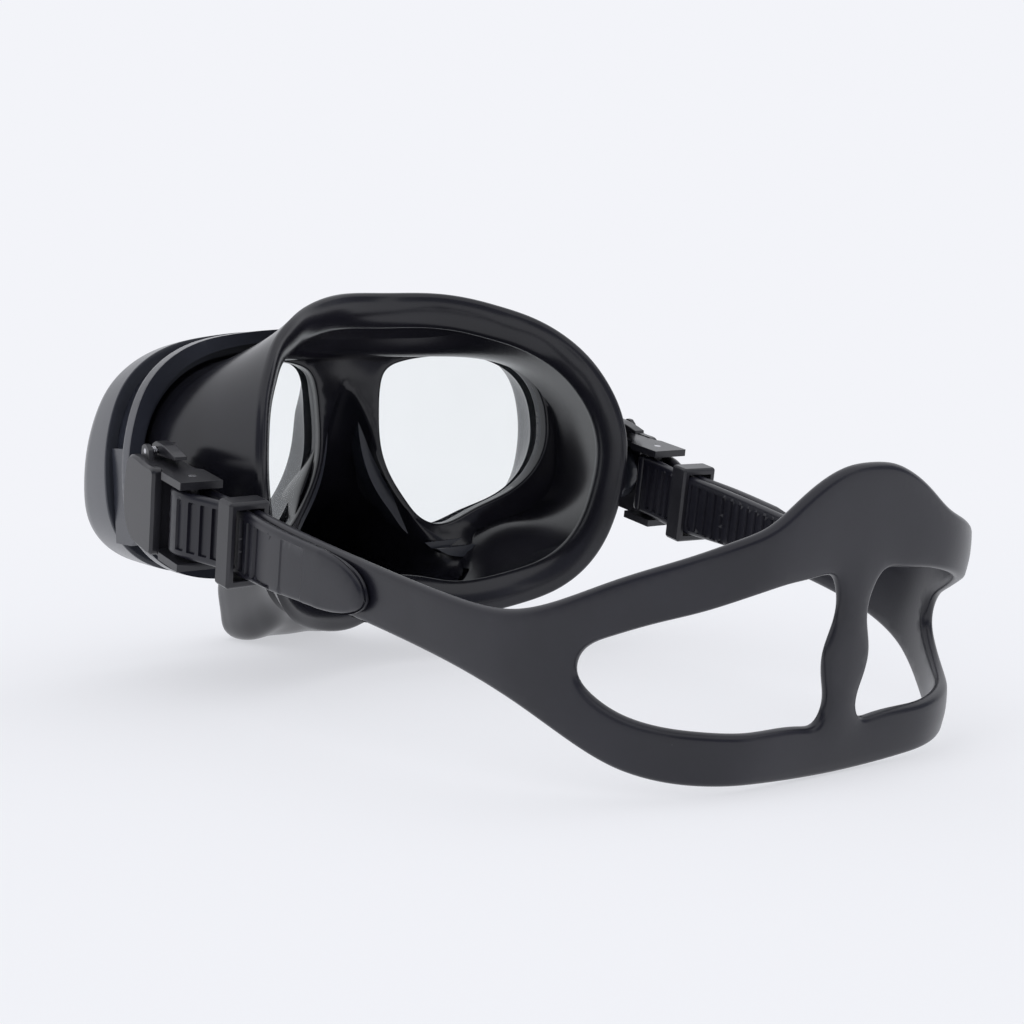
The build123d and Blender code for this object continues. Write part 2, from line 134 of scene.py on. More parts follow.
def through(keys, counts):
    """Rings between key rings, each point on a smooth curve through its keys."""
    keys = np.array(keys)
    total = sum(counts) + 1
    marks = np.concatenate([[0], np.cumsum(counts)]).astype(float)
    rings = np.zeros((total,) + keys.shape[1:])
    t = np.arange(total, dtype=float)
    slopes = np.zeros_like(keys)
    for k in range(1, len(keys) - 1):
        h0, h1 = marks[k] - marks[k - 1], marks[k + 1] - marks[k]
        d0, d1 = (keys[k] - keys[k - 1]) / h0, (keys[k + 1] - keys[k]) / h1
        slopes[k] = (h1 * d0 + h0 * d1) / (h0 + h1)
    slopes[0] = 1.5 * (keys[1] - keys[0]) / (marks[1] - marks[0]) - 0.5 * slopes[1]
    slopes[-1] = 1.5 * (keys[-1] - keys[-2]) / (marks[-1] - marks[-2]) - 0.5 * slopes[-2]
    for k in range(len(keys) - 1):
        h = marks[k + 1] - marks[k]
        for i in range(int(marks[k]), int(marks[k + 1]) + 1):
            u = (t[i] - marks[k]) / h
            rings[i] = ((2 * u ** 3 - 3 * u ** 2 + 1) * keys[k] + (3 * u ** 2 - 2 * u ** 3) * keys[k + 1]
                        + h * ((u ** 3 - 2 * u ** 2 + u) * slopes[k] + (u ** 3 - u ** 2) * slopes[k + 1]))
    return list(rings)


# ------------------------------------------------------------------ meshes
class Shell:
    """Gathers grids and plates of points in millimetres and welds them into one mesh."""

    def __init__(self):
        self.points = []
        self.faces = []

    def add(self, points, faces):
        base = len(self.points)
        self.points.extend(np.asarray(points, float).tolist())
        self.faces.extend([tuple(base + i for i in face) for face in faces])

    def grid(self, rings, closed=True):
        rings = np.array(rings)
        rows, count = rings.shape[:2]
        faces = []
        for r in range(rows - 1):
            for c in range(count if closed else count - 1):
                d = (c + 1) % count
                faces.append((r * count + c, r * count + d, (r + 1) * count + d, (r + 1) * count + c))
        self.add(rings.reshape(-1, 3), faces)

    def cap(self, loop):
        loop = np.asarray(loop)
        count = len(loop)
        points = np.vstack([loop, loop.mean(axis=0)])
        self.add(points, [(i, (i + 1) % count, count) for i in range(count)])

    def build(self, name, crease=60, weld=0.02):
        mesh = bpy.data.meshes.new(name)
        mesh.from_pydata([[c * MM for c in p] for p in self.points], [], self.faces)
        bm = bmesh.new()
        bm.from_mesh(mesh)
        bmesh.ops.remove_doubles(bm, verts=bm.verts, dist=weld * MM)
        bmesh.ops.dissolve_degenerate(bm, dist=0.001 * MM, edges=bm.edges)
        bmesh.ops.recalc_face_normals(bm, faces=bm.faces)
        bm.to_mesh(mesh)
        bm.free()
        mesh.shade_smooth()
        mesh.set_sharp_from_angle(angle=radians(crease))
        piece = bpy.data.objects.new(name, mesh)
        bpy.context.scene.collection.objects.link(piece)
        return piece


def reflect(piece):
    """Turn a +X piece into its mirror image."""
    piece.data.transform(Matrix.Scale(-1, 4, (1, 0, 0)))
    piece.data.flip_normals()


def inside(points, loop):
    """Which (x, z) points lie inside a closed loop."""
    x, z = points[:, 0][:, None], points[:, 1][:, None]
    ax, az = loop[:, 0][None], loop[:, 1][None]
    bx, bz = np.roll(loop, -1, axis=0)[:, 0][None], np.roll(loop, -1, axis=0)[:, 1][None]
    crosses = (az > z) != (bz > z)
    with np.errstate(divide="ignore", invalid="ignore"):
        at = ax + (z - az) * (bx - ax) / (bz - az)
    return (np.sum(crosses & (x < at), axis=1) % 2) == 1


def gap(points, loop):
    """Distance from each (x, z) point to a closed loop."""
    best = np.full(len(points), 1e9)
    a, b = loop, np.roll(loop, -1, axis=0)
    for p, q in zip(a, b):
        d = q - p
        length = d @ d
        t = np.clip(((points - p) @ d) / length, 0, 1) if length > 0 else np.zeros(len(points))
        best = np.minimum(best, np.linalg.norm(points - (p + t[:, None] * d), axis=1))
    return best


def between(points, loops):
    """Which points lie inside the first loop and outside the others."""
    keep = inside(points, loops[0])
    for hole in loops[1:]:
        keep &= ~inside(points, hole)
    return keep


def nearest(points, loops):
    return np.min([gap(points, loop) for loop in loops], axis=0)


def lattice(loop, spacing):
    """Rows of evenly spaced points over a loop's bounding box, every other row shifted."""
    low, high = loop.min(axis=0), loop.max(axis=0)
    xs = np.arange(low[0], high[0], spacing)
    rows = [np.column_stack([xs + (spacing / 2 if k % 2 else 0), np.full(len(xs), z)])
            for k, z in enumerate(np.arange(low[1], high[1], spacing * 0.866))]
    return np.vstack(rows)


def triangulate(loops, inner):
    """Triangles between an outer loop and holes that use the inner points.

    Gives the points, the faces and, for each point, the loop point it comes from or -1."""
    edges, base = [], 0
    for loop in loops:
        edges += [(base + i, base + (i + 1) % len(loop)) for i in range(len(loop))]
        base += len(loop)
    points = np.vstack(list(loops) + [inner])
    result = geometry.delaunay_2d_cdt([Vector(p) for p in points], edges, [], 0, 1e-6)
    flat = np.array([list(v) for v in result[0]])
    faces = np.array([list(f) for f in result[2]])
    faces = faces[between(flat[faces].mean(axis=1), loops)]
    origin = np.array([o[0] if o and o[0] < base else -1 for o in result[3]])
    return flat, [tuple(f) for f in faces], origin


def plate(loops, spacing):
    inner = lattice(loops[0], spacing)
    inner = inner[between(inner, loops)]
    return triangulate(loops, inner[nearest(inner, loops) > 0.55 * spacing])


def relaxed(points, faces, heights, fixed, rounds=400):
    """Settle the free heights to the mean of their neighbours."""
    edges = np.array(sorted({tuple(sorted((f[i], f[(i + 1) % 3]))) for f in faces for i in range(3)}))
    count = np.zeros(len(points))
    np.add.at(count, edges[:, 0], 1)
    np.add.at(count, edges[:, 1], 1)
    count[count == 0] = 1
    for _ in range(rounds):
        total = np.zeros(len(points))
        np.add.at(total, edges[:, 0], heights[edges[:, 1]])
        np.add.at(total, edges[:, 1], heights[edges[:, 0]])
        heights = np.where(fixed, heights, total / count)
    return heights


# ------------------------------------------------------------------ outlines, seen from the front
LENS = [(14.5, 97.5), (22, 101), (36, 102.3), (50, 101.7), (61.5, 98.6), (68.8, 93.8),
        (73.2, 87), (74.8, 79), (74.3, 70.5), (70, 61.5), (60, 53.5), (46, 47.8), (32, 43.5),
        (26, 46), (20.5, 52.5), (15.2, 61.5), (12.4, 70), (11.8, 84), (12.5, 92)]
BEZEL = [(5.5, 110.5), (16, 112), (32, 112), (48, 110.8), (62, 108.3), (73, 103.3), (81, 95.8),
         (85.8, 86), (88.4, 75), (89, 63), (87, 51), (81, 42.2), (71, 36.3), (57, 33.5),
         (44, 32.6), (34, 33), (28.5, 36), (23.5, 41.5), (19.2, 47), (14.7, 53.6), (10.4, 61.9),
         (8.5, 68.3), (7.3, 76), (6.4, 84), (4.6, 91), (3.2, 99), (3.4, 106)]
RIM = [(0, -57, 123.3), (17.8, -54.3, 122.9), (27.3, -50.5, 121.2),
       (36, -46, 118.4), (44, -40, 114.7), (52, -34, 109), (59, -27, 100), (62.4, -23.7, 93.3),
       (65.6, -20, 82.8), (67, -18.5, 69.5), (65.2, -20.6, 52.8), (61.6, -24.4, 39.4),
       (57, -28.8, 30.5), (49, -35.5, 22.6), (39, -43, 18), (28, -49, 15.4), (18, -53.5, 15.2),
       (9, -56.3, 17.3), (0, -57, 18.6)]
COLLAR = [(0, 105.5), (28, 105.2), (51, 103.2), (64, 99), (73, 92), (78.5, 83.5), (81, 74),
          (81.2, 63), (79, 54), (73, 47), (63, 42.5), (52, 39.8)]
CHIN = [(44.5, -77, 36.2), (40, -71, 29), (33, -66, 22.4), (22, -63.6, 19.6), (10, -62.6, 18.9),
        (0, -62.2, 18.8)]
CHIN_BACK = [(45.5, -70, 34.6), (41.5, -64.5, 27), (34, -60.6, 21), (22, -59.4, 18.4),
             (10, -59.6, 18.2), (0, -60, 18.5)]

# ------------------------------------------------------------------ skirt


def skirt_keys(side):
    """Key rings of one skin of the skirt: at the panel, and behind the frame."""
    inner = side == "inner"
    wall, lift = (INNER_WALL, 2.4) if inner else (0.0, 0.0)
    front_y = PANEL_BACK + 1.0 if inner else PLATE_BACK
    collar = np.array(COLLAR)
    d = np.gradient(collar, axis=0)
    d /= np.linalg.norm(d, axis=1)[:, None]
    shrunk = collar - wall * np.column_stack([-d[:, 1], d[:, 0]])
    shrunk[0] = 0, COLLAR[0][1] - wall
    top = [(x, front_y + SWEEP * x, z) for x, z in shrunk]
    back = [(x, RING_BACK + 0.6 + SWEEP * x, z) for x, z in shrunk]
    low = [(x - (0.7 * wall if x > 30 else 0), y, z + lift) for x, y, z in CHIN]
    low_back = [(x - (0.7 * wall if x > 30 else 0), y, z + lift) for x, y, z in CHIN_BACK]
    return ring(top + low), ring(back + low_back)


RIM_RING = ring(RIM)


def evened(vectors, reach=14):
    """Smooth unit vectors along a closed ring."""
    total = sum(np.roll(vectors, k, axis=0) * (reach + 1 - abs(k)) for k in range(-reach, reach + 1))
    return total / np.linalg.norm(total, axis=1)[:, None]


def rim_frames():
    """At each rim point, the direction outwards along the face and the direction towards the face."""
    tangent = np.roll(RIM_RING, -1, axis=0) - np.roll(RIM_RING, 1, axis=0)
    tangent /= np.linalg.norm(tangent, axis=1)[:, None]
    flat = outward(RIM_RING[:, [0, 2]])
    lean = 2 * (RIM_TEMPLE_Y - RIM_Y) / RIM_HALF_WIDTH ** 2 * RIM_RING[:, 0] * flat[:, 0]
    out = np.column_stack([flat[:, 0], lean, flat[:, 1]])
    out -= np.sum(out * tangent, axis=1)[:, None] * tangent
    out /= np.linalg.norm(out, axis=1)[:, None]
    back = np.cross(out, tangent)
    back *= np.sign(back[:, 1:2])
    return evened(out), evened(back)


# the lip's section: distance outwards along the face, and towards the face
LIP = [(-0.05, -1.3), (-0.35, -0.45), (-1.0, 0.1), (-2.0, 0.42), (-3.4, 0.5), (-5.2, 0.3),
       (-7.2, -0.3), (-9.0, -1.2), (-10.4, -2.3), (-11.2, -3.3), (-11.5, -4.0), (-11.3, -4.6),
       (-10.7, -4.8), (-9.8, -4.3), (-8.4, -3.4), (-6.8, -3.0), (-5.4, -3.3), (-4.4, -4.3), (-3.7, -6.0)]

MOUTH = [(0, -88.2, 93), (4.2, -87.4, 88.4), (7, -87, 82), (8.7, -86.9, 76), (10.3, -86.6, 69),
         (13.2, -86, 61.2), (18.3, -85, 52.2), (23.6, -83.6, 45.6), (30, -81, 40), (35, -77.5, 34.6),
         (36.2, -73.5, 29.4), (32, -69.4, 25.2), (22, -66.4, 23), (10, -65.2, 22.4), (0, -64.8, 22.3)]
MOUTH_COUNT = 160
# ridge (y, z), floor (y, z) and half width of the nose pocket's inside, from its mouth to its tip
POCKET = [((-95, 84), (-80, 21.9), 29), ((-103, 71.5), (-95, 19.6), 23.5),
          ((-114, 57.5), (-108, 15.6), 20.6), ((-127, 46), (-120, 9.6), 19.4),
          ((-140, 36), (-131, 5), 19.2), ((-149, 28.5), (-141, 3.2), 18.9),
          ((-154, 22), (-149, 3.4), 17.8), ((-156.2, 16.5), (-153.8, 6), 12.5),
          ((-156.8, 12), (-156.3, 9.2), 4)]
TIP_SHAPE = [(0, 1), (0.42, 0.99), (0.78, 0.95), (0.95, 0.83), (1, 0.62), (1, 0.35), (0.98, 0.14),
             (0.86, 0.02), (0.5, 0.0), (0, 0)]
POCKET_WALL = 2.5
PANEL_SPACING = 2.2
RIDGE_ROUND = 5.0                # softens the panel's fold on the centre plane
MOUTH_FLOOR, MOUTH_BLEND = 22.0, 12.0   # height of the mouth's floor, and of the blend above it
LENS_EDGE = 0.9                  # rounding round each lens opening
MIRROR = np.array([-1, 1, 1])


def pocket_rings(mouth, grow):
    """Loops from the pocket's mouth forward to its tip, each lying between a ridge and a floor."""
    keys = [mouth]
    top, low = mouth[:, 2].max(), mouth[:, 2].min()
    wide = np.abs(mouth[:, 0]).max()
    a0, h0 = mouth[:, 0] / wide, (mouth[:, 2] - low) / (top - low)
    tip = cubic(both(TIP_SHAPE), MOUTH_COUNT)
    for k, (ridge, floor, half) in enumerate(POCKET):
        mix = min(1, (k + 1) / 4)
        a = a0 * (1 - mix) + tip[:, 0] * mix
        h = h0 * (1 - mix) + tip[:, 1] * mix
        forward = grow if k > 3 else grow * 0.6
        end = 1 if k < len(POCKET) - 1 else 1.4
        y = floor[0] + (ridge[0] - floor[0]) * h - forward * 0.55 * end
        z = floor[1] + (ridge[1] - floor[1]) * h + grow * (2 * h - 1)
        keys.append(np.column_stack([a * (half + grow), y, z]))
    return through(keys, [6] * len(POCKET))


def pocket_mouth(outer):
    """The pocket's mouth in the panel; on the outer skin it stands off by the wall."""
    mouth = ring(MOUTH, MOUTH_COUNT)
    if outer:
        flat = outward(mouth[:, [0, 2]])
        upper = np.clip((mouth[:, 2] - MOUTH_FLOOR) / MOUTH_BLEND, 0, 1)
        mouth[:, 0] += flat[:, 0] * upper
        mouth[:, 2] += flat[:, 1] * upper - INNER_WALL * (1 - upper)
        mouth[:, 1] -= 4.2 * upper
    return mouth


def add_panel(shell, panel, hole, level, outer):
    """One skin of the front panel, from the frame to both lens openings and the pocket."""
    mouth = pocket_mouth(outer)
    loops = [panel, hole, hole * MIRROR, mouth]
    points, faces, origin = plate([loop[:, [0, 2]] for loop in loops], PANEL_SPACING)
    known = np.concatenate([loop[:, 1] for loop in loops])
    fixed = origin >= 0
    heights = level + SWEEP * np.hypot(points[:, 0], RIDGE_ROUND)
    heights[fixed] = known[origin[fixed]]
    heights = relaxed(points, faces, heights, fixed)
    shell.add(np.column_stack([points[:, 0], heights, points[:, 1]]), faces)
    rings = pocket_rings(mouth, POCKET_WALL if outer else 0.0)
    shell.grid(rings)
    shell.cap(rings[-1])


def make_skirt():
    shell = Shell()
    out, back = rim_frames()
    lip = [RIM_RING + r * out + b * back for r, b in LIP]
    outer_panel, outer_collar = skirt_keys("outer")
    inner_panel, inner_collar = skirt_keys("inner")
    middle = 0.55 * outer_collar + 0.45 * RIM_RING
    middle[:, 1] += 1.5
    shell.grid(through([outer_panel, outer_collar, middle, lip[0]], [6, 8, 10]))
    shell.grid(through(lip, [3] * (len(lip) - 1)))
    inner_middle = 0.5 * inner_collar + 0.5 * lip[-1]
    shell.grid(through([lip[-1], inner_middle, inner_collar, inner_panel], [8, 8, 6]))

    lens = cubic(LENS, 168)
    normal = outward(lens)
    edge = lens + normal * LENS_EDGE
    inner_hole = np.column_stack([edge[:, 0], PANEL_BACK + SWEEP * edge[:, 0] + LENS_EDGE, edge[:, 1]])
    outer_hole = swept(edge, PLATE_BACK)
    add_panel(shell, inner_panel, inner_hole, PANEL_BACK, outer=False)
    add_panel(shell, outer_panel, outer_hole, PLATE_BACK, outer=True)
    steps = [inner_hole]
    for inset, drop in ((0.45, 0.15), (0.12, 0.5), (0.0, 1.1)):
        steps.append(swept(lens + normal * inset, PANEL_BACK + LENS_EDGE - drop))
    steps += [swept(lens, PLATE_BACK + 0.6), outer_hole]
    shell.grid(steps)
    shell.grid([step * MIRROR for step in steps])
    return shell.build("silicone_skirt")


# ------------------------------------------------------------------ strap
# edges of the rear band and its split: distance to the side, and above the swivel axis
BAND = [(0, 55), (7, 54.4), (14, 51.8), (21.5, 47), (28.5, 42), (36, 38.6), (45, 33.8),
        (53.5, 27.2), (58.5, 21.6), (65, 13.2), (70, 10.2), (75.5, 9.6)]
BAND_LOW = [(75.5, -6.3), (71, -5.9), (67.5, -7.2), (64, -9.8), (59, -14.2), (52, -18.6),
            (44, -19.9), (28, -20.3), (14, -21.1), (0, -21.45)]
# lower edge of each arm by distance behind the swivel axis: it narrows from the keeper backwards
ARM_LOW = [(45, -10), (65, -8.4), (84, -6.9), (104, -6.1), (125, -6)]
SPLIT = [(5.6, 25), (8, 28.4), (14, 28.7), (22, 27.9), (32, 25.6), (41, 21.9), (48.8, 17.5),
         (54.5, 12.6), (58, 7), (58.4, 2.2), (56, -2.8), (51, -6), (40, -7), (26, -7.6),
         (12, -8.2), (7, -8), (5, -4), (6, 2), (6.9, 9), (4.7, 18)]
S, C = sin(DROOP), cos(DROOP)


def loop_to_row(points):
    """From the strap loop's own frame, whose origin is on the swivel axis, to the row frame."""
    p = np.asarray(points, float)
    return np.column_stack([p[:, 0], SWIVEL[1] + p[:, 1] * C + p[:, 2] * S,
                            SWIVEL[2] - p[:, 1] * S + p[:, 2] * C])


def arm_x(y):
    t = y - ARM_END
    return ARM_X - tan(radians(3)) * t - t * t / (2 * 880)


def arm_low(y):
    behind, low = np.array(ARM_LOW).T
    return np.interp(y, behind, low)


def bend(centre, radius, turns):
    """Points on an arc about a centre, at turns in degrees from straight back."""
    return [(centre[0] + radius * sin(radians(t)), centre[1] + radius * cos(radians(t))) for t in turns]


def main_path():
    """The strap's middle line in plan, from the back of the head to the roller."""
    back = LOOP_BACK - STRAP_THICK / 2
    run = [(0, back), (HEAD_FLAT / 2, back), (HEAD_FLAT, back)]
    run += bend((HEAD_FLAT, back - HEAD_RADIUS), HEAD_RADIUS, range(10, 51, 10))
    x, y = run[-1]
    centre = (x - FLANK_RADIUS * sin(radians(50)), y - FLANK_RADIUS * cos(radians(50)))
    run += bend(centre, FLANK_RADIUS, range(60, 81, 10))
    run += [(arm_x(95), 95), (arm_x(65), 65), (ARM_X, ARM_END), (81.2, 28.5),
            (ROLLER_X - WRAP_RADIUS, ROLLER_Y)]
    return cubic(run, 700, closed=False)


class Track:
    """A plan curve that points across the strap are laid along."""

    def __init__(self, path):
        self.path = path
        self.along = np.concatenate([[0], np.cumsum(np.linalg.norm(np.diff(path, axis=0), axis=1))])
        d = np.gradient(path, axis=0)
        d /= np.linalg.norm(d, axis=1)[:, None]
        self.normal = np.column_stack([-d[:, 1], d[:, 0]])
        self.length = self.along[-1]

    def place(self, u, v, h):
        sign = np.where(u < 0, -1.0, 1.0)
        a = np.abs(u)
        x = np.interp(a, self.along, self.path[:, 0]) + h * np.interp(a, self.along, self.normal[:, 0])
        y = np.interp(a, self.along, self.path[:, 1]) + h * np.interp(a, self.along, self.normal[:, 1])
        return loop_to_row(np.column_stack([x * sign, y, v]))


def rounded(distance, radius):
    """Height of a rounded edge, from 0 at the edge to 1 at radius and beyond."""
    t = np.clip(distance / radius, 0, 1)
    return np.sqrt(np.clip(1 - (1 - t) ** 2, 0, 1))


EDGE_STEPS = (0.12, 0.4, 0.85, 1.45)    # rings of points over the rounded edge, the last at its end
SHEET_SPACING = 2.2


def soft_sheet(shell, loops, track, crown, rib):
    """A soft strap inside its first loop: two skins that meet round rounded edges.

    rib(None) gives the points that its sunk windows need, and rib(points) the depths outside
    and inside; crown(points, distance from the edge) gives the swelling of the outer skin."""
    extra = []
    for k, loop in enumerate(loops):
        normal = outward(loop) * (-1 if k == 0 else 1)
        extra += [loop + normal * step for step in EDGE_STEPS]
    ribs = rib(None)
    free = lattice(loops[0], SHEET_SPACING)
    free = free[between(free, loops)]
    free = free[nearest(free, loops) > EDGE_STEPS[-1] + 0.4 * SHEET_SPACING]
    columns = np.unique(np.abs(ribs[:, 0]))
    free = free[np.min(np.abs(np.abs(free[:, :1]) - columns[None]), axis=1) > 0.35]
    inner = np.vstack(extra + [free, ribs])
    inner = inner[between(inner, loops)]
    flat, faces, _ = triangulate(loops, inner[nearest(inner, loops) > 0.08])
    distance = nearest(flat, loops)
    lift = STRAP_THICK / 2 * rounded(distance, EDGE_STEPS[-1])
    outer_dip, inner_dip = rib(flat)
    outer = lift + crown(flat, distance) - outer_dip
    shell.add(track.place(flat[:, 0], flat[:, 1], outer), faces)
    shell.add(track.place(flat[:, 0], flat[:, 1], inner_dip - lift), faces)


# half of the tail's rounded tip: distance from the tip, distance from the middle
TAIL_TIP = [(0.4, 0), (1.6, 3.6), (5.5, 6.8), (12, 8.8), (20, 9.6)]
SHEET_CREASE = 28                # degrees; sharper folds in a strap are drawn as creases
RIB_PITCH = 4.3
RIB_WIDTH = 1.3
RIB_DEPTH = 0.9
RIB_SLOPE = 0.3
RIB_MARGIN = 2.3
RIB_REACH = 84.0                 # length of the ribbed run on the arm's inner face


def windows(points, spans, depth=RIB_DEPTH, margin=RIB_MARGIN, slope=RIB_SLOPE):
    """Depth of a row of sunk windows at points (along the strap, across it)."""
    u, v = points[:, 0], points[:, 1]
    total = np.zeros(len(u))
    across = np.minimum(v - (STRAP_BOTTOM + margin), (STRAP_TOP - margin) - v)
    for a, b in spans:
        along = np.minimum(u - a, b - u)
        total = np.maximum(total, depth * np.clip(np.minimum(along, across) / slope, 0, 1))
    return total


def window_rows(spans, margin=RIB_MARGIN, slope=RIB_SLOPE):
    """Points along the edges of the windows, so that the mesh follows them."""
    low, high = STRAP_BOTTOM + margin, STRAP_TOP - margin
    ends = [low, low + slope, high - slope, high]
    column = np.concatenate([ends[:2], np.arange(low + 1.2, high - 1.0, 1.2), ends[2:]])
    rows = []
    for a, b in spans:
        for u in (a, a + slope, b - slope, b):
            rows.append(np.column_stack([np.full(len(column), u), column]))
        for u in np.arange(a + slope + 1.0, b - slope - 0.6, 1.2):
            rows.append(np.column_stack([np.full(4, u), ends]))
    return np.vstack(rows)


def rib_spans(start, stop):
    return [(u, u + RIB_PITCH - RIB_WIDTH) for u in np.arange(start, stop, RIB_PITCH)]


def symmetric(half):
    """An open run across the centre line, from its -u end to its +u end."""
    half = half[np.argsort(half[:, 0])]
    return np.vstack([(half * [-1, 1])[:0:-1], half])


def make_main_strap():
    track = Track(main_path())
    x_along = track.path[:, 0]
    rising = 470                 # up to here the path only moves outwards, so x gives the place
    end = track.length

    def to_u(points):
        return np.array([(np.interp(x, x_along[:rising], track.along[:rising]), v) for x, v in points])

    upper = cubic(symmetric(to_u(BAND)), 260, closed=False)
    lower = cubic(symmetric(to_u(BAND_LOW))[::-1], 260, closed=False)
    arm_u = np.linspace(upper[-1, 0], end, 90)[1:]
    arm_top = np.column_stack([arm_u, np.full(len(arm_u), STRAP_TOP)])
    arm_edge = np.column_stack([arm_u, arm_low(end - arm_u + ROLLER_Y)])
    v = np.linspace(STRAP_TOP, STRAP_BOTTOM, 12)[1:-1]
    seam = np.column_stack([np.full(len(v), end), v])
    outline = np.vstack([upper, arm_top, seam, arm_edge[::-1], lower, arm_edge * [-1, 1],
                         (seam * [-1, 1])[::-1], (arm_top * [-1, 1])[::-1]])
    split = cubic(to_u(SPLIT), 200)
    rib_from = end - RIB_REACH
    spans = rib_spans(rib_from, end - 6)

    def crown(flat, distance):
        head = np.clip((rib_from - 20 - np.abs(flat[:, 0])) / 30, 0, 1)
        return head * 0.9 * (1 - np.exp(-distance / 3.2))

    def rib(flat):
        if flat is None:
            rows = window_rows(spans)
            return np.vstack([rows, rows * [-1, 1]])
        return np.zeros(len(flat)), windows(np.column_stack([np.abs(flat[:, 0]), flat[:, 1]]), spans)

    shell = Shell()
    soft_sheet(shell, [outline, split, (split * [-1, 1])[::-1]], track, crown, rib)
    return shell.build("silicone_strap", SHEET_CREASE)


def make_tail(name, sign):
    """The strap's end, from its tip forward through the keeper and round the roller."""
    run = [(ROLLER_X + WRAP_RADIUS * cos(radians(t)), ROLLER_Y + WRAP_RADIUS * sin(radians(t)))
           for t in range(180, 361, 30)]
    run += [(88.4, 27.5), (ARM_X + LAYER_PITCH, ARM_END)]
    run += [(arm_x(y) + LAYER_PITCH, y) for y in (61, 84, TAIL_END)]
    tail = Track(cubic(run, 500, closed=False)[::-1].copy())
    tip_end = TAIL_TIP[-1][0]
    straight = np.linspace(tip_end, tail.length, 80)[1:]
    upper = np.vstack([cubic(TAIL_TIP, 40, closed=False),
                       np.column_stack([straight, np.full(len(straight), STRAP_TOP)])])
    width = (STRAP_TOP - arm_low(TAIL_END - upper[:, 0])) / (2 * STRAP_TOP)
    lower = np.column_stack([upper[:, 0], STRAP_TOP - (upper[:, 1] + STRAP_TOP) * width])
    v = np.linspace(STRAP_TOP, STRAP_BOTTOM, 12)[1:-1]
    seam = np.column_stack([np.full(len(v), tail.length), v])
    outline = np.vstack([upper, seam, lower[::-1][:-1]])
    keeper = TAIL_END - 54.6
    spans = [(TAIL_END - 65.5, keeper - 0.6)] + rib_spans(keeper + 0.8, tail.length - 16)
    recess = [(TAIL_END - 80.5, TAIL_END - 70)]
    recess_shape = {"margin": 1.6, "slope": 0.5}

    def crown(flat, distance):
        near_tip = np.clip((20 - flat[:, 0]) / 14, 0, 1)
        return -near_tip * 1.3 * np.exp(-distance / 3.0)

    def rib(flat):
        if flat is None:
            return np.vstack([window_rows(spans), window_rows(recess, **recess_shape)])
        dip = np.maximum(windows(flat, spans), windows(flat, recess, depth=0.3, **recess_shape))
        return dip, np.zeros(len(flat))

    shell = Shell()
    soft_sheet(shell, [outline], tail, crown, rib)
    piece = shell.build("strap_tail_" + name, SHEET_CREASE)
    if sign < 0:
        reflect(piece)
    return piece


# ------------------------------------------------------------------ bezels
def by_angle(loop, centre, count):
    """Resample a star-shaped loop at even angles round a centre."""
    dense = cubic(loop, 1440)
    d = dense - centre
    angle = np.arctan2(d[:, 1], d[:, 0])
    order = np.argsort(angle)
    angle, radius = angle[order], np.linalg.norm(d, axis=1)[order]
    want = np.linspace(-pi, pi, count, endpoint=False)
    r = np.interp(want, angle, radius, period=2 * pi)
    return np.column_stack([centre[0] + r * np.cos(want), centre[1] + r * np.sin(want)])


# share of the way from the bezel's outline to the lens opening, and from its rear to its front
BEZEL_RINGS = [(0.93, 0.0), (0.30, 0.0), (0.06, 0.0), (0.015, 0.02), (0.015, 0.08), (0.05, 0.38),
               (0.095, 0.66), (0.115, 0.76), (0.15, 0.84), (0.21, 0.92), (0.28, 0.975), (0.35, 1.0),
               (0.43, 1.0), (0.50, 0.98), (0.555, 0.93), (0.59, 0.86), (0.63, 0.76), (0.69, 0.58),
               (0.76, 0.38), (0.83, 0.19), (0.89, 0.05), (0.93, 0.0)]
CREST_SHARE = 0.39               # the share that falls on the front edge


def make_bezel(name, sign):
    centre = np.array([42.0, 74.0])
    outside, opening = by_angle(BEZEL, centre, 240), by_angle(LENS, centre, 240)
    shell = Shell()
    keys = []
    crest = np.clip(BEZEL_CREST / np.linalg.norm(outside - opening, axis=1), 0.1, 0.42)[:, None]
    for share, forward in BEZEL_RINGS:
        if share < CREST_SHARE:
            inwards = crest * share / CREST_SHARE
        else:
            inwards = crest + (share - CREST_SHARE) * (1 - crest) / (1 - CREST_SHARE)
        loop = outside * (1 - inwards) + opening * inwards
        rear = GLASS_FRONT + SWEEP * loop[:, 0]
        front = BEZEL_FRONT + BEZEL_LEAN * loop[:, 0] + BEZEL_TILT * (loop[:, 1] - 80)
        keys.append(np.column_stack([loop[:, 0], rear * (1 - forward) + front * forward, loop[:, 1]]))
    shell.grid(keys[:3])
    shell.grid(through(keys[2:], [3] * (len(keys) - 3)))
    piece = shell.build(name)
    if sign < 0:
        reflect(piece)
    return piece


# ------------------------------------------------------------------ materials
def new_material(name):
    material = bpy.data.materials.new(name)
    material.use_nodes = True
    tree = material.node_tree
    return material, tree, tree.nodes["Principled BSDF"]


def node(tree, kind, **settings):
    made = tree.nodes.new(kind)
    for key, value in settings.items():
        if key in made.inputs:
            made.inputs[key].default_value = value
        else:
            setattr(made, key, value)
    return made


